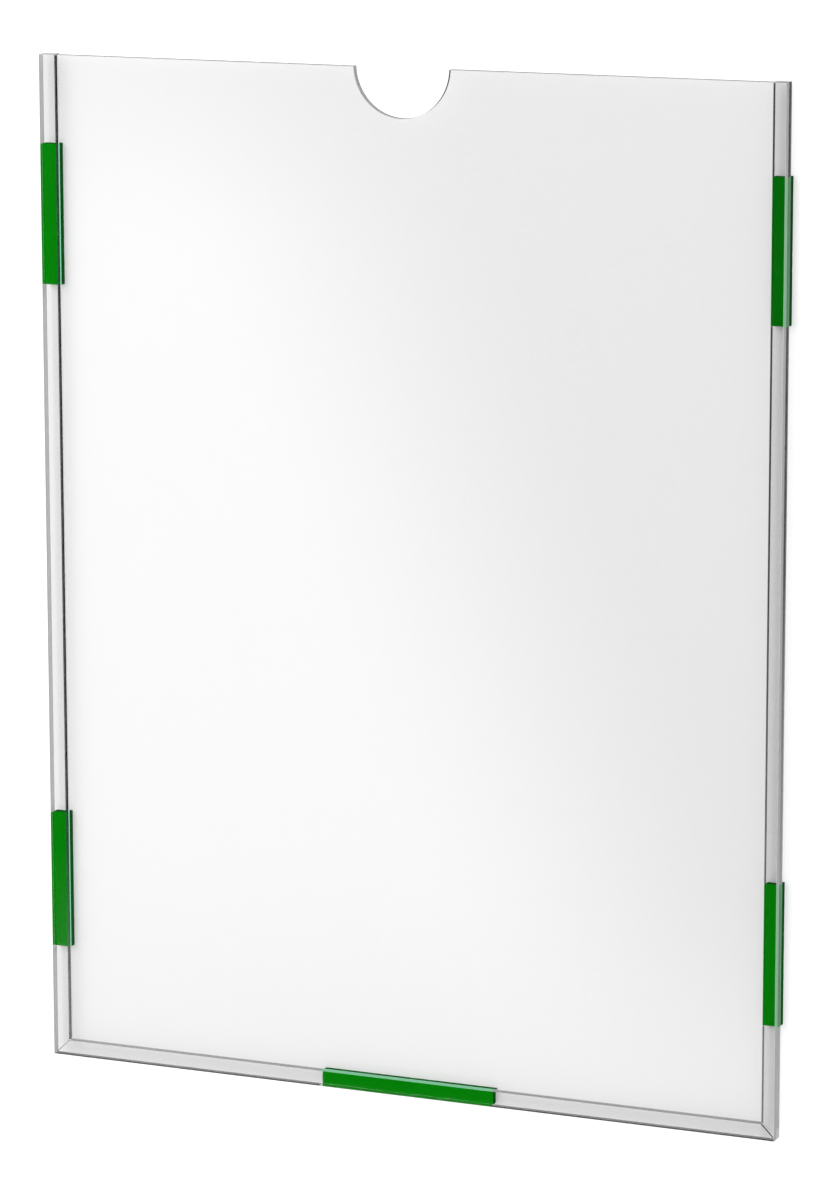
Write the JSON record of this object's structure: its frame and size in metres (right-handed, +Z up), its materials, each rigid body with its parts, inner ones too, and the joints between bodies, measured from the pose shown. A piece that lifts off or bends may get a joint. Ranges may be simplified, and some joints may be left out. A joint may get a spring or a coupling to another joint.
{
  "type": "acrylic wall display frame",
  "caption": "Clear upright wall frame: a flat sheet with a thumb notch at the top, on mitred spacer strips with foam tape pads, open at the top for a page.",
  "frame": {"origin": "centre of the bottom pad's wall face, so the wall is the plane Y = 0", "axes": "+X to the right as seen from the front, +Z up along the sheet, +Y out of the pads into the wall; the clear front faces -Y"},
  "size_m": [0.226, 0.0065, 0.296],
  "materials": {
    "clear_acrylic": "clear colourless cast acrylic, polished faces and edges",
    "clear_strip": "clear colourless acrylic bar, saw-cut and polished, solvent bonded to the sheet",
    "green_foam": "matt green closed-cell foam, double-sided adhesive"
  },
  "bodies": {
    "root": {"front_sheet": "clear_acrylic", "left_strip": "clear_strip", "right_strip": "clear_strip", "bottom_strip": "clear_strip", "upper_left_pad": "green_foam", "lower_left_pad": "green_foam", "upper_right_pad": "green_foam", "lower_right_pad": "green_foam", "bottom_pad": "green_foam"}
  },
  "joints": []
}
